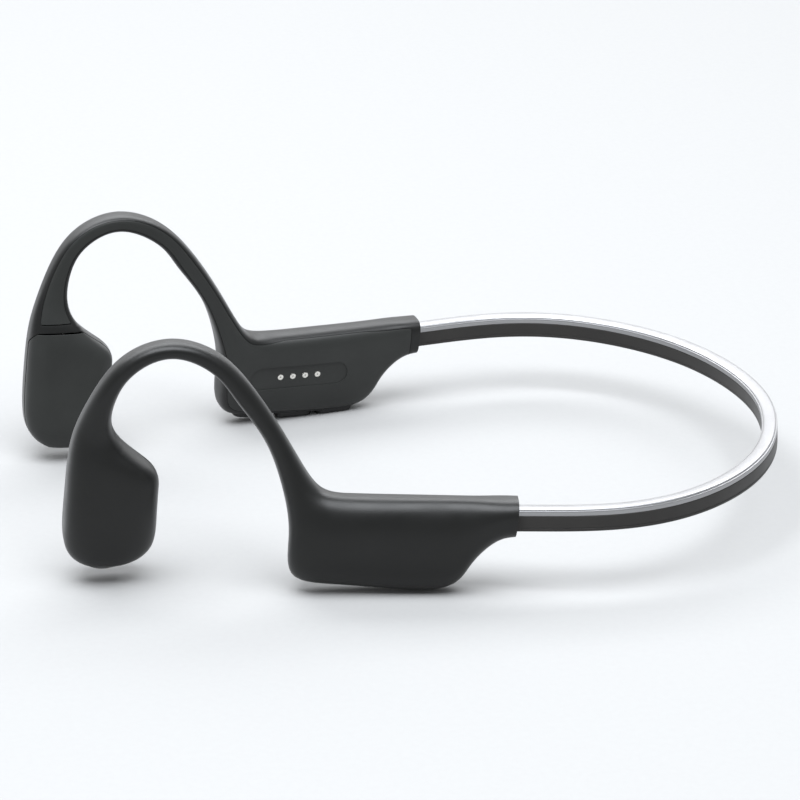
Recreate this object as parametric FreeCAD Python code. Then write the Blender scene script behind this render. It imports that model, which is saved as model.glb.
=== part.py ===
"""Open-ear bone conduction headphones, millimetres.

+X runs to the back of the wearer's head, -X to the face, +Z up, +Y to the wearer's right.
The origin is under the middle of the whole object, on the surface that it stands on.
Each arm is one swept body: transducer pod, ear hook and electronics housing.  The arms are
modelled once, on the +Y side, and mirrored for the left ear.
"""
import FreeCAD, Part
import math
import os

V = FreeCAD.Vector
UP = V(0, 0, 1)

# ---- driving dimensions -------------------------------------------------------------------

# Arm stations, from the tip of the pod over the ear to the back end of the housing.
# Each: outer outline point (x, z), inner outline point (x, z), distance from the middle
# plane, thickness across, lean in degrees.
ARM_STATIONS = [
    ((-71.5, 2.5), (-67.5, 2.3), 32.0, 2.8, 0),
    ((-74.5, 4.3), (-63.2, 3.9), 31.8, 8.4, 0),
    ((-77.0, 7.8), (-59.4, 7.7), 32.0, 11.4, -0.5),
    ((-77.3, 13.8), (-58.5, 14.0), 32.9, 12.4, -1),
    ((-76.8, 20.4), (-58.1, 20.1), 33.2, 11.8, -1),
    ((-75.9, 28.3), (-59.6, 24.4), 33.2, 10.3, -1),
    ((-73.9, 35.2), (-66.5, 31.2), 33.7, 7.2, 0),
    ((-70.0, 43.2), (-66.6, 40.0), 35.4, 6.4, 0),
    ((-64.4, 49.5), (-62.8, 45.8), 36.4, 6.0, -2),
    ((-55.8, 52.2), (-55.5, 48.5), 37.1, 6.1, -4),
    ((-46.8, 49.2), (-47.6, 44.7), 37.8, 6.2, -3),
    ((-39.8, 41.9), (-43.3, 39.0), 39.0, 6.5, -1),
    ((-33.9, 32.5), (-38.1, 31.2), 40.4, 7.1, 1.5),
    ((-29.7, 24.7), (-34.7, 21.3), 41.9, 8.1, 3),
    ((-26.4, 20.9), (-33.6, 12.0), 43.4, 9.5, 1),
    ((-21.6, 20.1), (-33.0, 3.6), 44.7, 9.9, 1),
    ((-14.7, 19.9), (-21.9, 1.3), 46.2, 10.0, 0),
    ((-1.8, 19.7), (-4.3, 0.6), 48.8, 9.4, -3),
    ((4.2, 19.6), (2.0, 5.6), 49.7, 8.8, -2),
    ((7.7, 19.5), (6.8, 10.4), 50.1, 8.3, 0),
    ((11.5, 19.4), (10.8, 11.5), 50.6, 7.8, 0),
]
OUTWARD_FULLNESS = 2.6      # superellipse power of the skin on the side away from the head
INWARD_FULLNESS = 3.6       # and on the side against the head
COVER_SEAM = 0.65           # depth of the cover's parting line, as a share of half the thickness
PAD_SEAM = 0.3              # and of the pad's
ARM_WALL = 0.9
CLOSED_END = 0.12           # length of a closed end, in stations
COVER_GAP = 0.06            # parting line between shell and cover, both fixed
PAD_GAP = 0.4               # round the vibrating pad
POD_TIP = 0.0               # places along the arm, in stations
PAD_TOP = 5.0
COVER_FRONT = 5.1
SEAM_RAMP = (5.0, 6.5)      # the parting line moves from the pad's depth to the cover's
HOUSING_END = 20.0

# Neck band: half of its centreline in plan, from the back of the head to inside the housing.
BAND_HALF_LINE = [
    (75.5, 0.0), (73.3, 15.5), (67.2, 29.9), (57.3, 41.9),
    (44.4, 50.2), (29.6, 53.0), (15.4, 51.3), (8.4, 50.1),
]
BAND_HEIGHT_Z = 15.2
BAND_WIDTH = 3.4
BAND_BOTTOM = -2.48
BAND_TOP = 2.6
TRIM_BOTTOM = 1.0
TRIM_SHOULDER = 2.15
JACKET_CORNER = 0.7
JACKET_TRIM_GAP = 0.03
GROOVE_WIDTH = 1.7
GROOVE_BOTTOM = -1.25
BAND_LEAN = 3.0             # degrees, the top towards the head
CORE_WIRE_D = 1.1
CORE_WIRE_B = -0.67
BAND_CABLE_D = 1.0
BAND_CABLE_B = 0.44
BAND_STEPS = 4              # loops between two points of the centreline

# Housing: the boards, battery, contacts and buttons stand in one turned frame.
HOUSING_MID = V(-14.5, 46.85, 10.6)
HOUSING_TURN = 9.7          # degrees in plan
HOUSING_PITCH = 2.4         # degrees, nose up
PIN_COUNT = 4
PIN_PITCH = 2.84
PIN_D = 1.3
PIN_ROW_U = -2.25           # middle of the row, along the housing from HOUSING_MID
PIN_ROW_W = -0.07
PIN_LENGTH = 3.0
PIN_SETBACK = 0.03          # the heads stand this far behind the recess floor
PIN_HOLE_GAP = 0.05
PIN_PRESS_GAP = 0.02        # round the pins in their moulded block
RECESS_STATION = 16         # the recess is as deep below the skin as measured here
RECESS_LENGTH = 22.3
RECESS_HEIGHT = 5.2
RECESS_DEPTH = 0.45

# Boxes in the housing's frame: length, depth, height, then the middle's u, v, w.
MAIN_BOARD = (25.0, 0.8, 10.0, 1.0, 1.5, 0.6)
SHIELD_CAN = (13.0, 1.6, 7.5, 1.5, 0.28, 1.2)
SHIELD_WALL = 0.3
RADIO_CHIP = (6.0, 0.9, 5.0, 1.5, 0.6, 1.2)
MICROPHONE = (3.5, 1.0, 2.6, -9.4, 0.58, -2.6)
CONTACT_BLOCK = (13.0, 1.1, 3.6, PIN_ROW_U, -2.95, PIN_ROW_W)
BATTERY_CELL = (25.0, 4.4, 11.0, 0.5, -0.6, 0.2)
BATTERY_ROUND = 0.8
BATTERY_FOAM = (18.0, 0.6, 8.0, 0.5, 2.0, 0.2)
BATTERY_BOARD = (13.0, 3.2, 0.7, 0.5, -0.6, 6.5)

SCREW_PLACES = ((-9.6, 4.0), (11.4, 4.0))
SCREW_D = 1.4
SCREW_LENGTH = 2.0
SCREW_HEAD_D = 2.4
SCREW_HEAD_HEIGHT = 0.6
SCREW_HOLE_D = 1.5
SCREW_HEAD_V = 0.45         # front of the heads, under the board's front face

BUTTON_NAMES = ["volume_up_button", "multifunction_button", "volume_down_button"]
BUTTON_PITCH = 9.3
BUTTON_LENGTH = 8.3
BUTTON_WIDTH = 4.6
BUTTON_MID_X = -17.0
BUTTON_PROUD = 0.5          # how far the cap stands below the shell
BUTTON_HEIGHT = 2.2
BUTTON_GAP = 0.3
BUTTON_TRAVEL = 0.4
BUTTON_SIDE = -0.5          # towards the head from the middle of the shell's bottom
CAP_ROUND = 0.5
CAP_STEM_D = 1.6
CAP_STEM_LENGTH = 0.3
SEAL_WIDTH = 3.6
SEAL_THICKNESS = 0.5
SEAL_GAP = 0.1
SWITCH_LIFT = 1.5           # from the top of a cap to its switch's plunger
SWITCH_SIZE = (3.4, 2.6, 1.2)
PLUNGER_D = 1.2
PLUNGER_LENGTH = 0.3
BUTTON_SPAN = (14.9, 17.6)  # stations along the bottom where buttons may stand

# Transducer, in the pod: its axis runs across the head.
DRIVER_X = -67.8
DRIVER_Z = 14.0
YOKE_D = 11.5
YOKE_Y = (33.3, 36.2)
YOKE_WALL = 0.8
MAGNET_D = 7.0
MAGNET_Y = (33.5, 35.4)
COIL_D = (7.6, 9.6)
COIL_Y = (33.4, 35.2)
SPRING_D = 11.0
SPRING_Y = (32.6, 32.9)
PLATE_D = 12.0
PLATE_Y = (31.2, 32.0)
BOSS_D = 5.0
BOSS_Y = 28.1

WIRE_OFFSET = -0.6          # hook core wire, towards the head from the section's middle
HOOK_WIRE_D = 1.0
CABLE_OFFSET = 0.75
HOOK_CABLE_D = 0.9
WIRE_SPAN = (4.6, 14.3)     # stations


# ---- curves -------------------------------------------------------------------------------

def natural_spline(values):
    """A natural cubic through the values at 0, 1, 2, ... as a function of the position."""
    count = len(values)
    upper = [0.0] * count
    right = [0.0] * count
    for i in range(1, count - 1):
        bend = 6 * (values[i - 1] - 2 * values[i] + values[i + 1])
        pivot = 4 - upper[i - 1]
        upper[i] = 1 / pivot
        right[i] = (bend - right[i - 1]) / pivot
    second = [0.0] * count
    for i in range(count - 2, 0, -1):
        second[i] = right[i] - upper[i] * second[i + 1]

    def at(place):
        i = min(max(int(place), 0), count - 2)
        u = place - i
        w = 1 - u
        sag = (1 + w) * second[i] + (1 + u) * second[i + 1]
        return w * values[i] + u * values[i + 1] - u * w * sag / 6

    return at


ARM_CURVES = [natural_spline(row) for row in zip(*[
    (outer[0], outer[1], inner[0], inner[1], side, thick, lean)
    for outer, inner, side, thick, lean in ARM_STATIONS])]


def arm_middle(place):
    ox, oz, ix, iz, side = [curve(place) for curve in ARM_CURVES[:5]]
    return V((ox + ix) / 2, side, (oz + iz) / 2)


def arm_section(place):
    """Middle, the two section axes, and the two half sizes of the arm at a station."""
    ox, oz, ix, iz, _, thick, lean = [curve(place) for curve in ARM_CURVES]
    across = V(ox - ix, 0, oz - iz)
    half_width = across.Length / 2
    across.normalize()
    turn = math.radians(lean)
    axis_u = V(across.x * math.cos(turn), math.sin(turn), across.z * math.cos(turn))
    axis_v = axis_u.cross(arm_middle(place + 0.01) - arm_middle(place - 0.01))
    axis_v.normalize()
    return arm_middle(place), axis_u, axis_v, half_width, thick / 2


def signed_power(value, power):
    return math.copysign(abs(value) ** power, value)


def ring_uv(angle, half_width, half_thick):
    """A point of the superellipse section, in its own two directions."""
    fullness = OUTWARD_FULLNESS if math.sin(angle) > 0 else INWARD_FULLNESS
    return (half_width * signed_power(math.cos(angle), 2 / fullness),
            half_thick * signed_power(math.sin(angle), 2 / fullness))


def seam_angle(depth, half_thick):
    """The angle below the section's middle at which the ring reaches the depth."""
    return math.asin((depth / half_thick) ** (INWARD_FULLNESS / 2))


def clamped_knots(count, degree):
    """Knots and multiplicities of an even B-spline that starts and ends on its end poles."""
    spans = count - degree
    mults = [degree + 1] + [1] * (spans - 1) + [degree + 1]
    return mults, [float(i) for i in range(spans + 1)]


def spline_face(rows):
    """A smooth face shaped by a grid of poles.  Faces that share a row of poles share an edge."""
    degree_u = min(3, len(rows) - 1)
    degree_v = min(3, len(rows[0]) - 1)
    mults_u, knots_u = clamped_knots(len(rows), degree_u)
    mults_v, knots_v = clamped_knots(len(rows[0]), degree_v)
    surface = Part.BSplineSurface()
    surface.buildFromPolesMultsKnots(
        rows, mults_u, mults_v, knots_u, knots_v, False, False, degree_u, degree_v)
    return surface.toShape()


def swept_solid(loops):
    """A solid between cross-sections, each a closed loop of sides, each side a list of points."""
    sides = len(loops[0])
    faces = [spline_face([loop[k] for loop in loops]) for k in range(sides)]
    for end in (0, -1):
        edges = []
        for side in loops[end]:
            mults, knots = clamped_knots(len(side), min(3, len(side) - 1))
            curve = Part.BSplineCurve()
            curve.buildFromPolesMultsKnots(side, mults, knots, False, min(3, len(side) - 1))
            edges.append(curve.toShape())
        faces.append(Part.Face(Part.Wire(edges)))
    shell = Part.makeShell(faces)
    shell.sewShape()
    solid = Part.Solid(shell)
    if solid.Volume < 0:
        solid.reverse()
    return solid


def line_edge(start, end):
    return Part.LineSegment(start, end).toShape()


def polygon_wire(points):
    return Part.makePolygon(points + [points[0]])


# ---- the arm's skins ----------------------------------------------------------------------

ARC_POINTS = 17
SKIN_STEP = 0.3             # stations between the loops of a skin
ROUND_POLES = 7
POLE_REACH = 1.04           # the poles of a round section stand this much outside it


def half_ring(place, half_width, half_thick, depth, outward):
    """Points over one side of the section, from one parting line to the other."""
    middle, axis_u, axis_v, _, _ = arm_section(place)
    seam = seam_angle(depth, half_thick)
    start, end = (-seam, math.pi + seam) if outward else (-seam, seam - math.pi)
    points = []
    for i in range(ARC_POINTS):
        u, v = ring_uv(start + (end - start) * i / (ARC_POINTS - 1), half_width, half_thick)
        points.append(middle + axis_u * u + axis_v * v)
    return points


def seam_share(place):
    start, end = SEAM_RAMP
    way = min(max((place - start) / (end - start), 0.0), 1.0)
    return PAD_SEAM + (COVER_SEAM - PAD_SEAM) * way * way * (3 - 2 * way)


def skin_profile(place, opening, gap, outward):
    """A C-shaped loop: half of the skin, as thick as the wall.  opening shrinks the hollow."""
    _, _, _, half_width, half_thick = arm_section(place)
    depth = seam_share(place) * half_thick + gap
    hollow_thick = max(half_thick - ARM_WALL, 0.5 * half_thick, depth + 0.3)
    hollow_width = max((half_width - ARM_WALL) * opening, 0.2)
    outside = half_ring(place, half_width, half_thick, depth, outward)
    inside = half_ring(place, hollow_width, hollow_thick, depth, outward)
    inside.reverse()
    return [outside, [outside[-1], inside[0]], inside, [inside[-1], outside[0]]]


def skin(start, end, closed_start, closed_end, gap, outward):
    """One moulded skin between two stations, its ends closed or open."""
    steps = round((end - start) / SKIN_STEP)
    places = [start + (end - start) * i / steps for i in range(steps + 1)]
    if closed_start:
        places.insert(1, start + CLOSED_END)
    if closed_end:
        places.insert(-1, end - CLOSED_END)
    loops = []
    for place in places:
        closed = closed_start and place < start + 1.5 * CLOSED_END
        closed = closed or (closed_end and place > end - 1.5 * CLOSED_END)
        loops.append(skin_profile(place, 0.05 if closed else 1.0, gap, outward))
    return swept_solid(loops)


def hollow_plug(start, end, clearance):
    """A block that fills the hollow of the arm between two stations."""
    wires = []
    for place in (start, (start + end) / 2, end):
        middle, axis_u, axis_v, half_width, half_thick = arm_section(place)
        width = half_width - ARM_WALL - clearance
        thick = half_thick - ARM_WALL - clearance
        ring = []
        for i in range(2 * ARC_POINTS):
            u, v = ring_uv(2 * math.pi * i / (2 * ARC_POINTS), width, thick)
            ring.append(middle + axis_u * u + axis_v * v)
        wires.append(polygon_wire(ring))
    return Part.makeLoft(wires, True, True)


def hook_line(offset, diameter):
    """A round wire or cable along the hook, off the middle of the section."""
    start, end = WIRE_SPAN
    steps = 20
    frames = []
    for i in range(steps + 1):
        middle, axis_u, axis_v, _, _ = arm_section(start + (end - start) * i / steps)
        frames.append((middle + axis_v * offset, axis_u, axis_v))
    return round_tube(frames, diameter)


def round_tube(frames, diameter):
    """A tube through (middle, side, other side) frames, each section two half rounds."""
    reach = diameter / 2 * POLE_REACH
    loops = []
    for middle, axis_u, axis_v in frames:
        loop = []
        for half in range(2):
            side = []
            for i in range(ROUND_POLES):
                angle = math.pi * (half + i / (ROUND_POLES - 1))
                out = reach if 0 < i < ROUND_POLES - 1 else diameter / 2
                side.append(middle + axis_u * (out * math.cos(angle))
                            + axis_v * (out * math.sin(angle)))
            loop.append(side)
        loops.append(loop)
    return swept_solid(loops)


# ---- neck band ----------------------------------------------------------------------------

def band_stations():
    """Points and outward directions along the band, from the left housing to the right."""
    left = [(x, -y) for x, y in BAND_HALF_LINE[:0:-1]]
    line = left + BAND_HALF_LINE
    curve_x = natural_spline([x for x, _ in line])
    curve_y = natural_spline([y for _, y in line])
    stations = []
    for i in range(BAND_STEPS * (len(line) - 1) + 1):
        place = i / BAND_STEPS
        before, after = place - 0.01, place + 0.01
        ahead = V(curve_x(after) - curve_x(before), curve_y(after) - curve_y(before), 0)
        ahead.normalize()
        stations.append((V(curve_x(place), curve_y(place), BAND_HEIGHT_Z), ahead.cross(UP)))
    return stations


def band_point(station, a, b):
    """a runs outward and b up, in the band's leaning section."""
    middle, outward = station
    lean = math.radians(BAND_LEAN)
    level = a * math.cos(lean) - b * math.sin(lean)
    rise = a * math.sin(lean) + b * math.cos(lean)
    return middle + outward * level + UP * rise


def band_loft(outline):
    """A solid along the band with this (a, b) outline."""
    loops = []
    for station in band_stations():
        points = [band_point(station, a, b) for a, b in outline]
        loops.append([[points[i - 1], points[i]] for i in range(len(points))])
    return swept_solid(loops)


def band_jacket():
    side = BAND_WIDTH / 2
    groove = GROOVE_WIDTH / 2
    top = TRIM_BOTTOM - JACKET_TRIM_GAP
    corner = JACKET_CORNER
    return band_loft([
        (-side, top), (-side, BAND_BOTTOM + corner), (-side + corner, BAND_BOTTOM),
        (side - corner, BAND_BOTTOM), (side, BAND_BOTTOM + corner), (side, top),
        (groove, top), (groove, GROOVE_BOTTOM), (-groove, GROOVE_BOTTOM), (-groove, top)])


def band_trim():
    side = BAND_WIDTH / 2
    return band_loft([
        (-side, TRIM_BOTTOM), (side, TRIM_BOTTOM), (side, TRIM_SHOULDER),
        (side * 0.75, BAND_TOP - 0.12), (side * 0.3, BAND_TOP), (-side * 0.3, BAND_TOP),
        (-side * 0.75, BAND_TOP - 0.12), (-side, TRIM_SHOULDER)])


def band_line(diameter, b):
    frames = []
    for station in band_stations():
        frames.append((band_point(station, 0, b), station[1], UP))
    return round_tube(frames, diameter)


# ---- housing ------------------------------------------------------------------------------

def housing_placement():
    turn = FreeCAD.Rotation(UP, HOUSING_TURN)
    pitch = FreeCAD.Rotation(V(0, 1, 0), HOUSING_PITCH)
    return FreeCAD.Placement(HOUSING_MID, turn.multiply(pitch))


def housing_box(length, depth, height, u, v, w):
    """A box in the housing: u along it, v away from the head, w up, about its own middle."""
    box = Part.makeBox(length, depth, height, V(u - length / 2, v - depth / 2, w - height / 2))
    box.Placement = housing_placement().multiply(box.Placement)
    return box


def housing_cylinder(diameter, length, u, v, w, direction):
    rod = Part.makeCylinder(diameter / 2, length, V(u, v, w), direction)
    rod.Placement = housing_placement().multiply(rod.Placement)
    return rod


def stadium(length, width, height, middle):
    """An upright block with round ends, its long side along X, standing on middle."""
    reach = length / 2 - width / 2
    half = width / 2
    edges = [
        line_edge(V(-reach, -half, 0), V(reach, -half, 0)),
        Part.Arc(V(reach, -half, 0), V(reach + half, 0, 0), V(reach, half, 0)).toShape(),
        line_edge(V(reach, half, 0), V(-reach, half, 0)),
        Part.Arc(V(-reach, half, 0), V(-reach - half, 0, 0), V(-reach, -half, 0)).toShape()]
    block = Part.Face(Part.Wire(edges)).extrude(V(0, 0, height))
    block.translate(middle)
    return block


def recess_cutter():
    """The stadium pocket round the charging pins, cut from the head side."""
    block = stadium(RECESS_LENGTH, RECESS_HEIGHT, 10, V(0, 0, 0))
    block.rotate(V(0, 0, 0), V(1, 0, 0), 90)
    block.translate(V(PIN_ROW_U, recess_floor(), PIN_ROW_W))
    block.Placement = housing_placement().multiply(block.Placement)
    return block


def recess_floor():
    """How far the floor lies from the housing's middle, along v."""
    return RECESS_DEPTH - arm_section(RECESS_STATION)[4]


def pin_places():
    first = PIN_ROW_U - PIN_PITCH * (PIN_COUNT - 1) / 2
    return [first + PIN_PITCH * i for i in range(PIN_COUNT)]


def pin_rods(gap, reach):
    """Rods on the pins' axes, wider by the gap all round and longer by the reach in front."""
    head = recess_floor() + PIN_SETBACK - reach
    return [housing_cylinder(PIN_D + 2 * gap, PIN_LENGTH + reach, u, head, PIN_ROW_W, V(0, 1, 0))
            for u in pin_places()]


def charging_pins():
    """Four plated contact pins, their heads level with the recess floor."""
    return Part.makeCompound(pin_rods(0, 0))


def contact_block():
    block = housing_box(*CONTACT_BLOCK)
    for rod in pin_rods(PIN_PRESS_GAP, 0):
        block = block.cut(rod)
    return block


def bottom_place(x):
    """The station at which the shell's bottom line passes x."""
    low, high = BUTTON_SPAN
    for _ in range(40):
        middle = (low + high) / 2
        if ARM_CURVES[2](middle) < x:
            low = middle
        else:
            high = middle
    return low


def button_frame(index):
    """Place and pitch of a cap: along the shell's bottom line, and proud of it."""
    x = BUTTON_MID_X + BUTTON_PITCH * (index - 1)
    front = bottom_place(x - BUTTON_LENGTH / 2)
    back = bottom_place(x + BUTTON_LENGTH / 2)
    drop = ARM_CURVES[3](front) - ARM_CURVES[3](back)
    level = (ARM_CURVES[3](front) + ARM_CURVES[3](back)) / 2
    place = V(x, ARM_CURVES[4](bottom_place(x)) + BUTTON_SIDE, level - BUTTON_PROUD)
    return place, math.degrees(math.atan2(drop, BUTTON_LENGTH))


def on_housing_floor(block, index):
    """Moves a block made over the origin to a button's place."""
    place, pitch = button_frame(index)
    block.rotate(V(0, 0, 0), V(0, 1, 0), pitch)
    block.rotate(V(0, 0, 0), UP, HOUSING_TURN)
    block.translate(place)
    return block


def button_cap(index):
    cap = stadium(BUTTON_LENGTH, BUTTON_WIDTH, BUTTON_HEIGHT, V(0, 0, 0))
    cap = cap.makeFillet(CAP_ROUND, [edge for edge in cap.Edges if edge.CenterOfMass.z < 0.01])
    stem = Part.makeCylinder(CAP_STEM_D / 2, CAP_STEM_LENGTH, V(0, 0, BUTTON_HEIGHT))
    return on_housing_floor(cap.fuse(stem), index)


def button_hole(index):
    """A block that clears the cap, from below the shell to inside its wall."""
    length = BUTTON_LENGTH + 2 * BUTTON_GAP
    width = BUTTON_WIDTH + 2 * BUTTON_GAP
    return on_housing_floor(stadium(length, width, 4.5, V(0, 0, -1.5)), index)


def button_seal():
    """A rubber membrane over the three holes, with room for the caps' travel."""
    height = BUTTON_HEIGHT + CAP_STEM_LENGTH + BUTTON_TRAVEL + SEAL_GAP
    leaves = []
    for index in range(len(BUTTON_NAMES)):
        leaf = stadium(BUTTON_PITCH + SEAL_WIDTH, SEAL_WIDTH, SEAL_THICKNESS, V(0, 0, height))
        leaves.append(on_housing_floor(leaf, index))
    return leaves[0].multiFuse(leaves[1:])


def button_switches():
    """A tact switch over each cap's stem, its plunger down."""
    height = BUTTON_HEIGHT + SWITCH_LIFT
    length, width, _ = SWITCH_SIZE
    switches = []
    for index in range(len(BUTTON_NAMES)):
        corner = V(-length / 2, -width / 2, height + PLUNGER_LENGTH)
        plunger = Part.makeCylinder(PLUNGER_D / 2, PLUNGER_LENGTH, V(0, 0, height))
        switches.append(on_housing_floor(Part.makeBox(*SWITCH_SIZE, corner).fuse(plunger), index))
    return Part.makeCompound(switches)


def shield_can():
    """A sheet metal lid over the radio chip, open towards the board."""
    length, depth, height, u, v, w = SHIELD_CAN
    hollow = housing_box(
        length - 2 * SHIELD_WALL, depth, height - 2 * SHIELD_WALL, u, v + SHIELD_WALL, w)
    return housing_box(*SHIELD_CAN).cut(hollow)


def housing_parts():
    """What the right housing holds: the electronics behind the contacts and buttons."""
    board = housing_box(*MAIN_BOARD)
    screws = []
    for u, w in SCREW_PLACES:
        board = board.cut(housing_cylinder(SCREW_HOLE_D, 3, u, 0, w, V(0, 1, 0)))
        start = SCREW_HEAD_V + SCREW_HEAD_HEIGHT / 2
        shank = housing_cylinder(SCREW_D, SCREW_LENGTH, u, start, w, V(0, 1, 0))
        head = housing_cylinder(SCREW_HEAD_D, SCREW_HEAD_HEIGHT, u, SCREW_HEAD_V, w, V(0, 1, 0))
        screws.append(head.fuse(shank))
    return {
        "main_board": board,
        "board_screws": Part.makeCompound(screws),
        "shield_can": shield_can(),
        "radio_chip": housing_box(*RADIO_CHIP),
        "microphone": housing_box(*MICROPHONE),
        "button_switches": button_switches(),
        "button_seal": button_seal(),
        "contact_block": contact_block(),
        "charging_pins": charging_pins()}


def battery_parts():
    """What the left housing holds, modelled on the right and mirrored like the arm."""
    cell = housing_box(*BATTERY_CELL)
    edges = [edge for edge in cell.Edges if abs(edge.Length - BATTERY_CELL[1]) > 0.01]
    return {
        "battery_cell": cell.makeFillet(BATTERY_ROUND, edges),
        "battery_foam": housing_box(*BATTERY_FOAM),
        "battery_board": housing_box(*BATTERY_BOARD)}


# ---- transducer ---------------------------------------------------------------------------

def driver_disc(diameter, span):
    low, high = span
    return Part.makeCylinder(diameter / 2, high - low, V(DRIVER_X, low, DRIVER_Z), V(0, 1, 0))


def driver_parts():
    yoke = driver_disc(YOKE_D, YOKE_Y)
    yoke = yoke.cut(driver_disc(YOKE_D - 2 * YOKE_WALL, (YOKE_Y[0] - 1, YOKE_Y[1] - YOKE_WALL)))
    coil = driver_disc(COIL_D[1], COIL_Y).cut(driver_disc(COIL_D[0], (30, 40)))
    spring = driver_disc(SPRING_D, SPRING_Y)
    for turn in range(3):
        slot = Part.makeBox(1.0, 2, 5.0, V(-4.4, -1, -2.5))
        slot.rotate(V(0, 0, 0), V(0, 1, 0), 120 * turn)
        slot.translate(V(DRIVER_X, SPRING_Y[0], DRIVER_Z))
        spring = spring.cut(slot)
    plate = driver_disc(PLATE_D, PLATE_Y).fuse(driver_disc(BOSS_D, (BOSS_Y, PLATE_Y[0])))
    return {
        "transducer_yoke": yoke,
        "transducer_magnet": driver_disc(MAGNET_D, MAGNET_Y),
        "voice_coil": coil,
        "spring_plate": spring,
        "vibration_plate": plate.removeSplitter()}


# ---- the arm ------------------------------------------------------------------------------

def band_end_block(extra):
    """A straight block round the band's last stretch, in the end of the housing."""
    station = band_stations()[-1]
    side = BAND_WIDTH / 2 + extra
    outline = [(-side, BAND_BOTTOM - extra), (side, BAND_BOTTOM - extra),
               (side, BAND_TOP + extra), (-side, BAND_TOP + extra)]
    face = Part.Face(polygon_wire([band_point(station, a, b) for a, b in outline]))
    ahead = V(BAND_HALF_LINE[-2][0], BAND_HALF_LINE[-2][1], 0)
    ahead = ahead - V(BAND_HALF_LINE[-1][0], BAND_HALF_LINE[-1][1], 0)
    ahead.normalize()
    block = face.extrude(ahead * 12)
    block.translate(ahead * -4)
    return block


def arm_parts():
    """The pieces that both arms have, on the +Y side."""
    parts = {
        "outer_shell": skin(POD_TIP, HOUSING_END, True, False, 0.0, True),
        "inner_cover": skin(COVER_FRONT, HOUSING_END, True, False, COVER_GAP, False),
        "transducer_pad": skin(POD_TIP + 0.4, PAD_TOP, True, True, PAD_GAP, False),
        "hook_core_wire": hook_line(WIRE_OFFSET, HOOK_WIRE_D),
        "hook_cable": hook_line(CABLE_OFFSET, HOOK_CABLE_D),
        "band_seal": hollow_plug(19.1, 19.95, 0.08).cut(band_end_block(0.15))}
    parts.update(driver_parts())
    return parts


def mirrored(shape):
    return shape.mirror(V(0, 0, 0), V(0, 1, 0))


def all_parts():
    parts = {
        "band_jacket": band_jacket(),
        "band_trim": band_trim(),
        "band_core_wire": band_line(CORE_WIRE_D, CORE_WIRE_B),
        "band_cable": band_line(BAND_CABLE_D, BAND_CABLE_B)}
    for name, shape in arm_parts().items():
        parts["right_" + name] = shape
        parts["left_" + name] = mirrored(shape)
    for name, shape in battery_parts().items():
        parts[name] = mirrored(shape)
    parts.update(housing_parts())
    for index, name in enumerate(BUTTON_NAMES):
        parts[name] = button_cap(index)
        for skin_name in ("right_outer_shell", "right_inner_cover"):
            parts[skin_name] = parts[skin_name].cut(button_hole(index))
    cover = parts["right_inner_cover"].cut(recess_cutter())
    for rod in pin_rods(PIN_HOLE_GAP, 1):
        cover = cover.cut(rod)
    parts["right_inner_cover"] = cover
    return parts


os.makedirs("parts", exist_ok=True)
for node, shape in all_parts().items():
    shape.exportStep("parts/" + node + ".step")
    box = shape.BoundBox
    print("%-26s solids %d valid %s volume %8.2f  x %.1f..%.1f y %.1f..%.1f z %.1f..%.1f" % (
        node, len(shape.Solids), shape.isValid(), shape.Volume,
        box.XMin, box.XMax, box.YMin, box.YMax, box.ZMin, box.ZMax))
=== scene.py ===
"""Looks of the open-ear bone conduction headphones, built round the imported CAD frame.

Lengths are millimetres in the tables and metres in Blender.  +X runs to the back of the head,
+Y to the wearer's right, +Z up.  Both arms come from one table and are mirrored across y = 0.
"""
import math
import bmesh
import bpy
import numpy as np
from mathutils import Matrix, Vector


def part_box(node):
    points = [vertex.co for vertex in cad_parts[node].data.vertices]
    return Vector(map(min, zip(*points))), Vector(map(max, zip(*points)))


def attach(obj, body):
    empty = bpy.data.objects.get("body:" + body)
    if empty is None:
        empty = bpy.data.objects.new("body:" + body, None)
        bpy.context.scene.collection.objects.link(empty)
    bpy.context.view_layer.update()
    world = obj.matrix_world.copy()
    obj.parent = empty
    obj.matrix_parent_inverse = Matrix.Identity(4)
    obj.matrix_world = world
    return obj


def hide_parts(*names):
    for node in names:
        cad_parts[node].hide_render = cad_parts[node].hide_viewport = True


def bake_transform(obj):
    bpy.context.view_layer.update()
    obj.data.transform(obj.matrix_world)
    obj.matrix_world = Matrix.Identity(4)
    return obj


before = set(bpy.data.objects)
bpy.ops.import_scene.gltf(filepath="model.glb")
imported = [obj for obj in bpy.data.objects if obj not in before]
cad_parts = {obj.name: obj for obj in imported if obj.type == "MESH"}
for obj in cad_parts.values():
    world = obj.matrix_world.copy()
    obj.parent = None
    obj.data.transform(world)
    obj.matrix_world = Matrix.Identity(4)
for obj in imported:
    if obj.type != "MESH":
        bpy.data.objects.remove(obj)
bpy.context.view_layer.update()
MM = 0.001

# ---- dimensions ---------------------------------------------------------------------------

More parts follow.
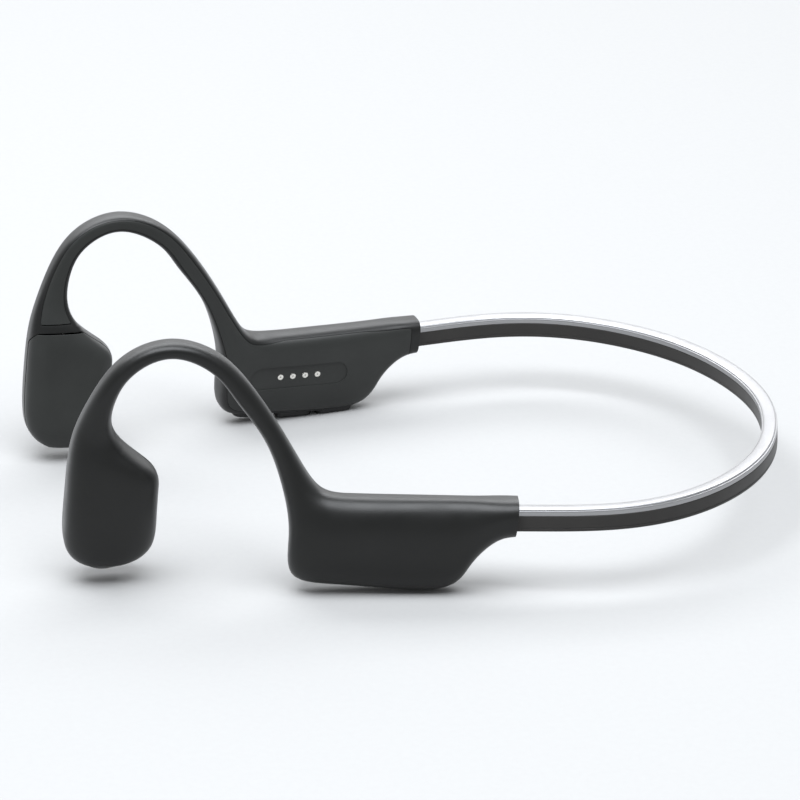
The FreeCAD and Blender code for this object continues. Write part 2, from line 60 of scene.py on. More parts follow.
# Arm stations from the pod's tip over the ear to the back end of the housing: outer outline
# point (x, z), inner outline point (x, z), distance from the middle plane, thickness, lean.
ARM_STATIONS = [
    ((-71.5, 2.5), (-67.5, 2.3), 32.0, 2.8, 0),
    ((-74.5, 4.3), (-63.2, 3.9), 31.8, 8.4, 0),
    ((-77.0, 7.8), (-59.4, 7.7), 32.0, 11.4, -0.5),
    ((-77.3, 13.8), (-58.5, 14.0), 32.9, 12.4, -1),
    ((-76.8, 20.4), (-58.1, 20.1), 33.2, 11.8, -1),
    ((-75.9, 28.3), (-59.6, 24.4), 33.2, 10.3, -1),
    ((-73.9, 35.2), (-66.5, 31.2), 33.7, 7.2, 0),
    ((-70.0, 43.2), (-66.6, 40.0), 35.4, 6.4, 0),
    ((-64.4, 49.5), (-62.8, 45.8), 36.4, 6.0, -2),
    ((-55.8, 52.2), (-55.5, 48.5), 37.1, 6.1, -4),
    ((-46.8, 49.2), (-47.6, 44.7), 37.8, 6.2, -3),
    ((-39.8, 41.9), (-43.3, 39.0), 39.0, 6.5, -1),
    ((-33.9, 32.5), (-38.1, 31.2), 40.4, 7.1, 1.5),
    ((-29.7, 24.7), (-34.7, 21.3), 41.9, 8.1, 3),
    ((-26.4, 20.9), (-33.6, 12.0), 43.4, 9.5, 1),
    ((-21.6, 20.1), (-33.0, 3.6), 44.7, 9.9, 1),
    ((-14.7, 19.9), (-21.9, 1.3), 46.2, 10.0, 0),
    ((-1.8, 19.7), (-4.3, 0.6), 48.8, 9.4, -3),
    ((4.2, 19.6), (2.0, 5.6), 49.7, 8.8, -2),
    ((7.7, 19.5), (6.8, 10.4), 50.1, 8.3, 0),
    ((11.5, 19.4), (10.8, 11.5), 50.6, 7.8, 0),
]
# Superellipse power of the skin, as (station, power): away from the head, and against it.
OUTWARD_FULLNESS = [(0, 2.8), (3.8, 3.0), (5.2, 2.6), (6.5, 2.3), (14.5, 2.3), (20, 2.45)]
INWARD_FULLNESS = 3.6
LAST_STATION = len(ARM_STATIONS) - 1
TIP_DROP = 0.35             # the rounded tip below the first station
WALL = 0.9
SKIN_INSET = 0.12           # the skins lie this far inside the design surface

# Parting lines, as (station, share of the half width at which the line runs).
PAD_WINDOW = (0.3, 5.38)
PAD_EDGE = [(0, 0.996), (20, 0.996)]
PAD_CORNER = (0.42, 0.24)   # length in stations, and how far the corner rounds off in share
COVER_WINDOW = (5.6, 19.48)
COVER_EDGE_OUT = [(5.3, 0.78), (9.5, 0.76), (10.5, 0.68), (12.5, 0.66), (13.5, 0.76),
                  (14.3, 0.87), (15.5, 0.93), (17, 0.93), (18, 0.86), (19, 0.77), (20, 0.71)]
COVER_EDGE_IN = [(5.3, 0.6), (6.5, 0.55), (7.3, 0.5), (9, 0.5), (11, 0.6), (12.5, 0.74),
                 (14, 0.8), (15.5, 0.85), (17, 0.9), (20, 0.93)]
COVER_CORNER = (0.1, 0.06)
NECK_TILT = 0.27            # stations: the lines at the neck run level, not square to the arm
NECK_MIDDLE = 5.45
NECK_REACH = 1.5
SEAM_GAP = 0.22             # width of a parting line
SEAM_ROUND = 0.14
PAD_GAP = 0.46              # along the pad's sides, which move into it
PAD_END_GAP = 0.26

ARC_SAMPLES = 900           # fine steps for spacing points evenly round a section
ARM_SAMPLES = 400           # and along the arm
ROW_STEP = 0.55             # mesh spacing along the arm
CORNER_ROWS = 6
TIP_STEPS = 7
OUTER_COLUMNS = 60
INNER_COLUMNS = 36

# Neck band: half its centreline in plan, from the back of the head to inside the housing.
BAND_HALF_LINE = [
    (75.5, 0.0), (73.3, 15.5), (67.2, 29.9), (57.3, 41.9),
    (44.4, 50.2), (29.6, 53.0), (15.4, 51.3), (8.4, 50.1),
]
BAND_HEIGHT_Z = 15.2
BAND_LEAN = 3.0
BAND_STEPS = 120
# Half outlines (across, up) of the silver strip and the rubber jacket, mirrored across 0.
TRIM_HALF = [(0.0, 2.5), (0.5, 2.49), (0.95, 2.46), (1.2, 2.39), (1.33, 2.28), (1.35, 2.16),
             (1.37, 2.04), (1.46, 2.02), (1.56, 1.99), (1.61, 1.91), (1.62, 1.8), (1.62, 1.14),
             (1.58, 1.05), (1.5, 1.02)]
JACKET_HALF = [(1.46, 0.98), (1.55, 0.97), (1.61, 0.9), (1.63, 0.76), (1.63, -1.5), (1.58, -1.57),
               (1.5, -1.6), (1.54, -1.66), (1.6, -1.71), (1.62, -1.8), (1.6, -2.06),
               (1.48, -2.26), (1.26, -2.38), (0.9, -2.42), (0.0, -2.43)]
CORE_WIRE = (0.55, -0.67)   # radius, and height in the band's section
BAND_CABLE = (0.5, 0.44)

HOUSING_MID = Vector((-14.5, 46.85, 10.6))
HOUSING_TURN = 9.7
HOUSING_PITCH = 2.4
PIN_COUNT = 4
PIN_PITCH = 2.84
PIN_ROW_U = -2.25
PIN_ROW_W = -0.07
PIN_RADIUS = 0.68
PIN_BACK = -2.6             # from the recess floor to the pins' hidden ends
RECESS_LENGTH = 22.3
RECESS_HEIGHT = 5.2
RECESS_FLOOR_V = -4.46      # from the housing's middle, towards the head
RECESS_LEAN = 3.6           # degrees, the floor follows the cover's face

BUTTON_NAMES = ["volume_up_button", "multifunction_button", "volume_down_button"]
BUTTON_LENGTH = 8.3
BUTTON_WIDTH = 4.6
BUTTON_HEIGHT = 2.2
BUTTON_GAP = 0.22
BUTTON_CORNER = 1.5
BUTTON_ROUND = 0.2
BUTTON_DROP = 0.09          # below the middle of the CAD cap's box, which its stem lengthens
BUTTON_SPAN = (14.9, 17.6)  # stations along the shell's bottom where the caps may stand
HOLE_REACH = 4              # how far the cutters of holes and recess run through the wall

# Camera: where it stands and how it is turned, and its lens.
CAMERA_PLACE = (-179.6, -848.6, 376.4)
CAMERA_YAW = -11.8
CAMERA_DOWN = 22.29
CAMERA_ROLL = 0.9
CAMERA_LENS = 202.7
SENSOR = 36.0


# ---- curves and sections ------------------------------------------------------------------

def natural_spline(values):
    """A natural cubic through the values at 0, 1, 2, ...; returns a function of an array."""
    values = np.asarray(values, float)
    count = len(values)
    matrix = np.eye(count)
    bends = np.zeros(count)
    for i in range(1, count - 1):
        matrix[i, i - 1:i + 2] = (1, 4, 1)
        bends[i] = 6 * (values[i - 1] - 2 * values[i] + values[i + 1])
    second = np.linalg.solve(matrix, bends)

    def at(place):
        place = np.asarray(place, float)
        i = np.clip(place.astype(int), 0, count - 2)
        u = place - i
        w = 1 - u
        sag = (1 + w) * second[i] + (1 + u) * second[i + 1]
        return w * values[i] + u * values[i + 1] - u * w * sag / 6

    return at


ARM_CURVES = [natural_spline(row) for row in zip(*[
    (outer[0], outer[1], inner[0], inner[1], side, thick, lean)
    for outer, inner, side, thick, lean in ARM_STATIONS])]


def arm_middles(place):
    ox, oz, ix, iz, side = [curve(place) for curve in ARM_CURVES[:5]]
    return np.stack([(ox + ix) / 2, side, (oz + iz) / 2], -1)


def arm_sections(place):
    """Middles, section axes and half sizes at an array of stations, on the +Y side."""
    ox, oz, ix, iz, _, thick, lean = [curve(place) for curve in ARM_CURVES]
    across = np.stack([ox - ix, np.zeros_like(ox), oz - iz], -1)
    width = np.linalg.norm(across, axis=-1)
    turn = np.radians(lean)[..., None]
    axis_u = across / width[..., None] * np.cos(turn) + np.array([0, 1, 0]) * np.sin(turn)
    axis_v = np.cross(axis_u, arm_middles(place + 0.01) - arm_middles(place - 0.01))
    axis_v /= np.linalg.norm(axis_v, axis=-1)[..., None]
    return arm_middles(place), axis_u, axis_v, width / 2 - SKIN_INSET, thick / 2 - SKIN_INSET


def table_value(table, place):
    stations, values = zip(*table)
    return float(np.interp(place, stations, values))


def section_arc(row, start, end, count):
    """Evenly spaced (u, v) points along the superellipse between two angles."""
    _, _, _, half_width, half_thick = arm_sections(np.array(row))
    angle = np.linspace(start, end, ARC_SAMPLES)
    cos, sin = np.cos(angle), np.sin(angle)
    power = np.where(sin > 0, 2 / table_value(OUTWARD_FULLNESS, row), 2 / INWARD_FULLNESS)
    points = np.stack([half_width * np.sign(cos) * np.abs(cos) ** power,
                       half_thick * np.sign(sin) * np.abs(sin) ** power], -1)
    steps = np.linalg.norm(np.diff(points, axis=0), axis=1)
    run = np.concatenate([[0], np.cumsum(steps)])
    even = np.linspace(0, run[-1], count)
    return np.stack([np.interp(even, run, points[:, k]) for k in range(2)], -1)


def corner_pull(row, window, corner):
    """How much of the share a window's rounded corners take away at a row."""
    length, share = corner
    inside = min(row - window[0], window[1] - row)
    way = min(max(1 - inside / length, 0.0), 1.0)
    return share * (1 - math.sqrt(1 - way * way))


def seam_angles(row):
    """Angles of the two parting lines: at the outer outline's side and at the inner one's."""
    if row < (PAD_WINDOW[1] + COVER_WINDOW[0]) / 2:
        # the pad has round corners at the neck only, not at the tip
        pull = corner_pull(row, PAD_WINDOW, PAD_CORNER) if row > 1 else 0
        shares = [table_value(PAD_EDGE, row) - pull] * 2
    else:
        pull = corner_pull(row, COVER_WINDOW, COVER_CORNER)
        shares = [table_value(COVER_EDGE_OUT, row) - pull, table_value(COVER_EDGE_IN, row) - pull]
    out, back = [math.acos(share ** (INWARD_FULLNESS / 2)) for share in shares]
    return 2 * math.pi - out, math.pi + back


def place_points(row, points):
    """Section points of one row in space, each at its own slightly shifted station at the neck."""
    _, _, _, width_here, thick_here = arm_sections(np.array(row))
    swell = math.exp(-(2 * (row - NECK_MIDDLE) / NECK_REACH) ** 2)
    places = np.clip(row - NECK_TILT * swell * points[:, 0] / width_here, 0, LAST_STATION)
    middle, axis_u, axis_v, widths, thicks = arm_sections(places)
    u = points[:, 0] * widths / width_here
    v = points[:, 1] * thicks / thick_here
    return middle + axis_u * u[:, None] + axis_v * v[:, None]


def row_places(start, end):
    """Stations between two places, spaced evenly in millimetres along the arm."""
    fine = np.linspace(start, end, 800)
    run = np.concatenate([[0], np.cumsum(np.linalg.norm(np.diff(arm_middles(fine), axis=0), axis=1))])
    count = max(3, int(round(run[-1] / ROW_STEP)) + 1)
    return list(np.interp(np.linspace(0, run[-1], count), run, fine))


def window_rows(window, corner, inset):
    """Rows of a window, set in at both ends, and closer together at its rounded corners."""
    start, end = window[0] + inset, window[1] - inset
    bends = [corner[0] * (1 - math.cos(math.pi / 2 * i / CORNER_ROWS)) for i in range(CORNER_ROWS)]
    rows = [start + b for b in bends] + [end - b for b in bends]
    inner = [r for r in row_places(start, end) if start + corner[0] < r < end - corner[0]]
    return sorted(rows + inner + [start + corner[0], end - corner[0]])


def stations_per_mm(window):
    middles = arm_middles(np.linspace(window[0], window[1], 200))
    return (window[1] - window[0]) / np.linalg.norm(np.diff(middles, axis=0), axis=1).sum()


# ---- mesh helpers -------------------------------------------------------------------------

def new_mesh(name, points, faces):
    mesh = bpy.data.meshes.new(name)
    mesh.from_pydata([tuple(p) for p in points], [], faces)
    mesh.update()
    obj = bpy.data.objects.new(name, mesh)
    bpy.context.scene.collection.objects.link(obj)
    return obj


def with_bmesh(obj, work):
    """Runs work on the object's mesh in edit form."""
    edit = bmesh.new()
    edit.from_mesh(obj.data)
    work(edit)
    edit.to_mesh(obj.data)
    edit.free()
    obj.data.update()


def tidy_mesh(obj, distance=1e-6):
    def work(edit):
        bmesh.ops.remove_doubles(edit, verts=edit.verts, dist=distance)
        bmesh.ops.recalc_face_normals(edit, faces=edit.faces)
    with_bmesh(obj, work)
    return obj


def bake_modifiers(obj):
    """Applies the modifiers to the mesh itself."""
    graph = bpy.context.evaluated_depsgraph_get()
    mesh = bpy.data.meshes.new_from_object(obj.evaluated_get(graph))
    obj.modifiers.clear()
    obj.data = mesh
    return obj


def soften(obj, sharp_degrees=40):
    """Smooth shading, with edges sharper than the angle kept crisp."""
    for polygon in obj.data.polygons:
        polygon.use_smooth = True
    obj.data.set_sharp_from_angle(angle=math.radians(sharp_degrees))
    return obj


def add_bevel(obj, width, segments=3, limit=48):
    bevel = obj.modifiers.new("bevel", "BEVEL")
    bevel.width = width * MM
    bevel.segments = segments
    bevel.limit_method = "ANGLE"
    bevel.angle_limit = math.radians(limit)
    bevel.use_clamp_overlap = True
    bevel.harden_normals = False
    return bevel


def cut_away(obj, cutter):
    """Boolean difference; the cutter is removed afterwards."""
    bpy.context.view_layer.update()
    cut = obj.modifiers.new("cut", "BOOLEAN")
    cut.operation = "DIFFERENCE"
    cut.solver = "EXACT"
    cut.object = cutter
    bake_modifiers(obj)
    bpy.data.objects.remove(cutter)


def strip_faces(rows, columns, closed):
    """Quads of a grid numbered row by row."""
    last = columns if closed else columns - 1
    return [(r * columns + c, r * columns + (c + 1) % columns,
             (r + 1) * columns + (c + 1) % columns, (r + 1) * columns + c)
            for r in range(rows - 1) for c in range(last)]


def to_side(points, side):
    """Table millimetres on the +Y side to metres on the wanted side."""
    points = np.asarray(points, float) * MM
    points[:, 1] *= side
    return points


# ---- arm skins ----------------------------------------------------------------------------

def shell_mesh(name, side):
    """The outer shell: a tube round the whole arm with windows for the pad and the cover."""
    rows = row_places(0.0, PAD_WINDOW[0])[:-1]
    rows += window_rows(PAD_WINDOW, PAD_CORNER, 0)
    rows += row_places(PAD_WINDOW[1], COVER_WINDOW[0])[1:-1]
    rows += window_rows(COVER_WINDOW, COVER_CORNER, 0)
    rows += row_places(COVER_WINDOW[1], LAST_STATION)[1:]
    tips = [math.sin(math.pi / 2 * i / TIP_STEPS) for i in range(1, TIP_STEPS)]
    rings = [shell_ring(0.0, scale) for scale in tips] + [shell_ring(row, 1.0) for row in rows]
    columns = OUTER_COLUMNS + INNER_COLUMNS
    kept = [tuple(range(columns))]
    for number, face in enumerate(strip_faces(len(rings), columns, True)):
        row = number // columns - len(tips)
        middle = (rows[row] + rows[row + 1]) / 2 if row >= 0 else 0
        window = PAD_WINDOW[0] < middle < PAD_WINDOW[1] or COVER_WINDOW[0] < middle < COVER_WINDOW[1]
        if number % columns < OUTER_COLUMNS or not window:
            kept.append(face)
    return tidy_mesh(new_mesh(name, to_side(np.concatenate(rings), side), kept))


def shell_ring(row, scale):
    """One closed ring of the shell; a scale under 1 makes the rounded tip."""
    out, back = seam_angles(row)
    outer = section_arc(row, out - 2 * math.pi, back, OUTER_COLUMNS + 1)
    inner = section_arc(row, back, out, INNER_COLUMNS + 1)
    points = place_points(row, np.concatenate([outer[:-1], inner[:-1]]) * scale)
    points[:, 2] -= TIP_DROP * (1 - scale * scale)
    return points


def panel_mesh(name, side, window, corner, gap, end_gap):
    """The pad or the cover: a patch over the head side of the arm, inside its window."""
    points = []
    rows = window_rows(window, corner, end_gap * stations_per_mm(window))
    for row in rows:
        out, back = seam_angles(row)
        arc = section_arc(row, back, out, INNER_COLUMNS + 1)
        run = np.linalg.norm(np.diff(arc, axis=0), axis=1).sum()
        inset = gap / run * (out - back)
        arc = section_arc(row, back + inset, out - inset, INNER_COLUMNS + 1)
        points.append(place_points(row, arc))
    faces = strip_faces(len(rows), INNER_COLUMNS + 1, False)
    return new_mesh(name, to_side(np.concatenate(points), side), faces)


def thicken(obj, side, wall):
    """Gives a patch its wall, inwards, as a closed solid."""
    def outward(edit):
        bmesh.ops.recalc_face_normals(edit, faces=edit.faces)
        # a patch's normals point away from the arm's middle line
        face = max(edit.faces, key=lambda f: f.calc_center_median().z)
        middle = arm_middle_near(face.calc_center_median(), side)
        if face.normal.dot(face.calc_center_median() - middle) < 0:
            bmesh.ops.reverse_faces(edit, faces=edit.faces)
    with_bmesh(obj, outward)
    solid = obj.modifiers.new("wall", "SOLIDIFY")
    solid.thickness = wall * MM
    solid.offset = -1
    solid.use_even_offset = False
    return bake_modifiers(obj)


def arm_middle_near(point, side):
    places = np.linspace(0, LAST_STATION, ARM_SAMPLES)
    middles = to_side(arm_middles(places), side)
    return Vector(middles[np.linalg.norm(middles - np.array(point), axis=1).argmin()])


# ---- housing details ----------------------------------------------------------------------

def housing_matrix():
    """From the housing's own frame (u along it, v away from the head, w up) to the object."""
    turn = Matrix.Rotation(math.radians(HOUSING_TURN), 4, "Z")
    pitch = Matrix.Rotation(math.radians(HOUSING_PITCH), 4, "Y")
    return Matrix.Translation(HOUSING_MID * MM) @ turn @ pitch


def round_outline(length, width, radius, count=9):
    """Points round a rectangle with round corners in its own plane, in millimetres."""
    points = []
    for quarter, (along, across) in enumerate(((1, -1), (1, 1), (-1, 1), (-1, -1))):
        for i in range(count + 1):
            angle = math.radians(90 * (quarter - 1 + i / count))
            points.append((along * (length / 2 - radius) + radius * math.cos(angle),
                           across * (width / 2 - radius) + radius * math.sin(angle)))
    return points


def prism(name, outline, low, high):
    """A block over an outline, from low to high, in metres; outline in the XY plane."""
    count = len(outline)
    points = [(x * MM, y * MM, level * MM) for level in (low, high) for x, y in outline]
    faces = [tuple(range(count))[::-1], tuple(range(count, 2 * count))]
    faces += [(i, (i + 1) % count, count + (i + 1) % count, count + i) for i in range(count)]
    return tidy_mesh(new_mesh(name, points, faces))


def button_matrix(node):
    """Where the CAD cap lies: over its box's middle, along the shell's bottom line."""
    low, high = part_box(node)
    middle = (low + high) / 2
    places = np.linspace(*BUTTON_SPAN, ARM_SAMPLES)
    x, z = ARM_CURVES[2](places) * MM, ARM_CURVES[3](places) * MM
    reach = BUTTON_LENGTH / 2 * MM
    front, back = np.interp([middle.x - reach, middle.x + reach], x, z)
    pitch = Matrix.Rotation(math.atan2(front - back, 2 * reach), 4, "Y")
    turn = Matrix.Rotation(math.radians(HOUSING_TURN), 4, "Z")
    return Matrix.Translation(middle) @ turn @ pitch


def lathe(name, profile, matrix, segments=40):
    """A turned piece: (radius, height) points spun about the frame's own Z."""
    points, count = [], len(profile)
    for i in range(segments):
        angle = 2 * math.pi * i / segments
        for radius, height in profile:
            points.append((radius * MM * math.cos(angle), radius * MM * math.sin(angle), height * MM))
    faces = [(i * count + k, ((i + 1) % segments) * count + k,
              ((i + 1) % segments) * count + k + 1, i * count + k + 1)
             for i in range(segments) for k in range(count - 1)]
    obj = new_mesh(name, points, faces)
    obj.data.transform(matrix)
    return tidy_mesh(obj, 1e-7)


# ---- materials ----------------------------------------------------------------------------

SKIN_SPECULAR = 0.34


class Paint:
    """A node material round one Principled shader."""

    def __init__(self, name, color, roughness, metallic=0.0, specular=0.5):
        self.material = bpy.data.materials.new(name)
        self.material.use_nodes = True
        self.nodes = self.material.node_tree.nodes
        self.links = self.material.node_tree.links
        self.shader = self.nodes["Principled BSDF"]
        self.shader.inputs["Base Color"].default_value = (*color, 1)
        self.shader.inputs["Roughness"].default_value = roughness
        self.shader.inputs["Metallic"].default_value = metallic
        self.shader.inputs["Specular IOR Level"].default_value = specular
        self.place = self.nodes.new("ShaderNodeTexCoord").outputs["Object"]
        self.height = None

    def stretched(self, scale):
        """Object coordinates scaled by a vector."""
        mapping = self.nodes.new("ShaderNodeMapping")
        mapping.inputs["Scale"].default_value = scale
        self.links.new(self.place, mapping.inputs["Vector"])
        return mapping.outputs["Vector"]

    def noise(self, size, detail=3.0, roughness=0.55, stretch=(1, 1, 1)):
        """Noise with features of a size in millimetres."""
        node = self.nodes.new("ShaderNodeTexNoise")
        node.inputs["Scale"].default_value = 1 / (size * MM)
        node.inputs["Detail"].default_value = detail
        node.inputs["Roughness"].default_value = roughness
        self.links.new(self.stretched(stretch), node.inputs["Vector"])
        return node.outputs["Fac"]

    def cells(self, size, feature="F1"):
        node = self.nodes.new("ShaderNodeTexVoronoi")
        node.feature = feature
        node.inputs["Scale"].default_value = 1 / (size * MM)
        self.links.new(self.place, node.inputs["Vector"])
        return node.outputs["Distance"]

    def ramp(self, value, stops):
        node = self.nodes.new("ShaderNodeValToRGB")
        while len(node.color_ramp.elements) < len(stops):
            node.color_ramp.elements.new(0.5)
        for element, (place, color) in zip(node.color_ramp.elements, stops):
            element.position = place
            element.color = (*color, 1)
        self.links.new(value, node.inputs["Fac"])
        return node.outputs["Color"]

    def spread(self, value, low, high, start=0.3, end=0.7):
        """Maps a noise value to a range."""
        node = self.nodes.new("ShaderNodeMapRange")
        node.inputs["From Min"].default_value = start
        node.inputs["From Max"].default_value = end
        node.inputs["To Min"].default_value = low
        node.inputs["To Max"].default_value = high
        self.links.new(value, node.inputs["Value"])
        return node.outputs["Result"]

    def color(self, value):
        self.links.new(value, self.shader.inputs["Base Color"])
        return self

    def rough(self, value):
        self.links.new(value, self.shader.inputs["Roughness"])
        return self

    def bump(self, value, depth, strength=1.0):
        """Adds relief of a depth in millimetres."""
        node = self.nodes.new("ShaderNodeBump")
        node.inputs["Distance"].default_value = depth * MM
        node.inputs["Strength"].default_value = strength
        self.links.new(value, node.inputs["Height"])
        if self.height is not None:
            self.links.new(self.height, node.inputs["Normal"])
        self.height = node.outputs["Normal"]
        self.links.new(self.height, self.shader.inputs["Normal"])
        return self


def shade(color, factor):
    return tuple(c * factor for c in color)


def soft_touch(name, color, roughness, grain):
    """Matt silicone skin: fine moulded grain, faint bloom and rubbed patches."""
    paint = Paint(name, color, roughness, 0.0, SKIN_SPECULAR)
    bloom = paint.noise(9.0, 4.0, 0.6)
    stops = [(0.3, shade(color, 0.88)), (0.55, color), (0.8, shade(color, 1.16))]
    paint.color(paint.ramp(bloom, stops))
    paint.rough(paint.spread(paint.noise(5.0, 5.0, 0.65), roughness - 0.045, roughness + 0.045))
    paint.bump(paint.noise(grain, 2.0, 0.5), grain * 0.035)
    paint.bump(paint.noise(grain * 7, 3.0, 0.5), grain * 0.05, 0.5)
    paint.shader.inputs["Sheen Weight"].default_value = 0.06
    paint.shader.inputs["Sheen Roughness"].default_value = 0.5
    return paint.material


def satin_silver(name):
    """Silver lacquer: fine flake, drawn lines along the band and slight tarnish."""
    color = (0.36, 0.36, 0.367)
    paint = Paint(name, color, 0.34, 1.0)
    flake = paint.noise(0.12, 2.0, 0.7)
    paint.color(paint.ramp(flake, [(0.3, shade(color, 0.9)), (0.6, color), (0.8, shade(color, 1.12))]))
    paint.rough(paint.spread(paint.noise(4.0, 4.0, 0.6), 0.31, 0.39))
    paint.bump(flake, 0.003)
    paint.bump(paint.noise(0.5, 2.0, 0.5, (1, 1, 14)), 0.004, 0.6)
    return paint.material


def metal(name, color, roughness, line=(1, 1, 12)):
    """Drawn or turned metal with fine lines and small scratches."""
    paint = Paint(name, color, roughness, 1.0)
    lines = paint.noise(0.35, 3.0, 0.6, line)
    paint.color(paint.ramp(lines, [(0.3, shade(color, 0.82)), (0.7, color)]))
    paint.rough(paint.spread(lines, roughness - 0.06, roughness + 0.08))
    paint.bump(lines, 0.006)
    return paint.material


def moulded(name, color, roughness):
    """Moulded plastic or rubber with a spark-eroded grain."""
    paint = Paint(name, color, roughness)
    grain = paint.noise(0.18, 2.0, 0.6)
    paint.color(paint.ramp(paint.noise(3.0), [(0.3, shade(color, 0.8)), (0.75, shade(color, 1.2))]))
    paint.rough(paint.spread(grain, roughness - 0.06, roughness + 0.06))
    paint.bump(grain, 0.012)
    return paint.material


def copper_winding(name):
    """Enamelled wire, turn beside turn round the coil's axis."""
    paint = Paint(name, (0.55, 0.2, 0.07), 0.3, 1.0)
    turns = paint.nodes.new("ShaderNodeTexWave")
    turns.bands_direction = "Y"
    turns.inputs["Scale"].default_value = 1 / (0.6 * MM)
    paint.links.new(paint.place, turns.inputs["Vector"])
    # The darker bands between the turns are painted shade in the grooves between the wires.
    paint.color(paint.ramp(turns.outputs["Fac"], [(0.1, (0.2, 0.06, 0.02)), (0.6, (0.65, 0.25, 0.09))]))
    paint.bump(turns.outputs["Fac"], 0.04)
    return paint.material


def circuit_board(name):
    """Green solder mask with the raised lines of the tracks under it."""
    paint = Paint(name, (0.01, 0.09, 0.04), 0.32)
    tracks = paint.cells(1.1, "DISTANCE_TO_EDGE")
    stops = [(0.04, (0.03, 0.2, 0.09)), (0.09, (0.008, 0.075, 0.035)), (1.0, (0.01, 0.09, 0.04))]
    paint.color(paint.ramp(tracks, stops))
    paint.rough(paint.spread(paint.noise(0.4), 0.26, 0.4))
    paint.bump(tracks, 0.01, 0.5)
    return paint.material


def pouch_foil(name):
    """The crinkled laminate of a pouch cell."""
    paint = Paint(name, (0.6, 0.6, 0.62), 0.35, 0.85)
    crinkle = paint.cells(2.6, "DISTANCE_TO_EDGE")
    # The darker lines along the crinkles are painted shade in the creases of the foil.
    paint.color(paint.ramp(crinkle, [(0.02, (0.42, 0.42, 0.44)), (0.2, (0.64, 0.64, 0.66))]))
    paint.bump(crinkle, 0.05, 0.6)
    paint.bump(paint.noise(0.5), 0.01)
    return paint.material


def open_foam(name):
    paint = Paint(name, (0.02, 0.02, 0.021), 0.95)
    pores = paint.cells(0.35)
    # The darker pore centres are painted shade inside the pores.
    paint.color(paint.ramp(pores, [(0.1, (0.004, 0.004, 0.004)), (0.6, (0.035, 0.035, 0.036))]))
    paint.bump(pores, 0.1)
    return paint.material


def pale_floor(name):
    """Plain matt paper sweep."""
    paint = Paint(name, (0.35, 0.35, 0.35), 0.95, 0.0, 0.05)
    fibre = paint.noise(1.5, 4.0, 0.6)
    paint.color(paint.ramp(fibre, [(0.2, (0.345, 0.345, 0.343)), (0.8, (0.356, 0.356, 0.354))]))
    return paint.material


SHELL = soft_touch("soft_touch_shell", (0.0042, 0.0045, 0.0041), 0.38, 0.3)
# The cover and the pad get a lighter base than the shell: painted light, standing in for the fill light
# on the arms' head-side faces.
COVER = soft_touch("soft_touch_cover", (0.0185, 0.0198, 0.0185), 0.42, 0.3)
PAD = soft_touch("pad_silicone", (0.0185, 0.0198, 0.0185), 0.45, 0.26)
BAND_SILVER = satin_silver("band_silver")
BAND_RUBBER = soft_touch("band_rubber", (0.021, 0.0195, 0.018), 0.5, 0.25)
BUTTON_RUBBER = moulded("button_rubber", (0.008, 0.008, 0.008), 0.5)
SEAL_RUBBER = moulded("seal_rubber", (0.014, 0.014, 0.014), 0.6)
BLACK_PLASTIC = moulded("black_plastic", (0.02, 0.02, 0.02), 0.4)
TITANIUM = metal("titanium_wire", (0.5, 0.48, 0.46), 0.35)
STEEL = metal("driver_steel", (0.56, 0.56, 0.57), 0.3, (12, 1, 1))
PLATED = metal("plated_steel", (0.62, 0.61, 0.58), 0.25, (1, 1, 6))
CONTACT = metal("contact_plating", (0.86, 0.84, 0.79), 0.22, (6, 1, 1))
COPPER = copper_winding("copper_coil")
BOARD = circuit_board("circuit_board")
FOIL = pouch_foil("battery_pouch")
FOAM = open_foam("foam")


def dress(obj, material):
    obj.data.materials.clear()
    obj.data.materials.append(material)
    return obj


# ---- arms ---------------------------------------------------------------------------------

def build_shell(name, side):
    obj = shell_mesh(name + "_arm_shell", side)
    obj = thicken(obj, side, WALL)
    if name == "right":
        for node in BUTTON_NAMES:
            outline = round_outline(BUTTON_LENGTH + 2 * BUTTON_GAP, BUTTON_WIDTH + 2 * BUTTON_GAP,
                                    BUTTON_CORNER + BUTTON_GAP)
            cutter = prism("hole", outline, -HOLE_REACH, HOLE_REACH)
            cutter.data.transform(button_matrix(node))
            cut_away(obj, cutter)
    add_bevel(obj, SEAM_ROUND)
    bake_modifiers(obj)
    soften(obj)
    dress(obj, SHELL)
    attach(obj, name + "_arm")
    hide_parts(name + "_outer_shell")


def build_cover(name, side):
    patch = panel_mesh(name + "_arm_cover", side, COVER_WINDOW, COVER_CORNER, SEAM_GAP, SEAM_GAP)
    obj = thicken(patch, side, WALL)
    if name == "right":
        cut_away(obj, recess_cutter())
    add_bevel(obj, SEAM_ROUND)
    bake_modifiers(obj)
    soften(obj)
    dress(obj, COVER)
    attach(obj, name + "_arm")
    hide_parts(name + "_inner_cover")


def build_pad(name, side):
    patch = panel_mesh(name + "_pod_pad", side, PAD_WINDOW, PAD_CORNER, PAD_GAP, PAD_END_GAP)
    obj = thicken(patch, side, WALL)
    add_bevel(obj, SEAM_ROUND)
    bake_modifiers(obj)
    soften(obj)
    dress(obj, PAD)
    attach(obj, name + "_pad")
    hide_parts(name + "_transducer_pad")


def recess_matrix():
    """From a frame with its Z out of the recess floor, X along the row of pins, to the object."""
    middle = Matrix.Translation(Vector((PIN_ROW_U, RECESS_FLOOR_V, PIN_ROW_W)) * MM)
    return housing_matrix() @ middle @ Matrix.Rotation(math.radians(90 + RECESS_LEAN), 4, "X")


def recess_cutter():
    """A block that stands on the recess floor and reaches out past the cover."""
    outline = round_outline(RECESS_LENGTH, RECESS_HEIGHT, RECESS_HEIGHT / 2)
    cutter = prism("recess", outline, 0, 1.5 * HOLE_REACH)
    cutter.data.transform(recess_matrix())
    return cutter


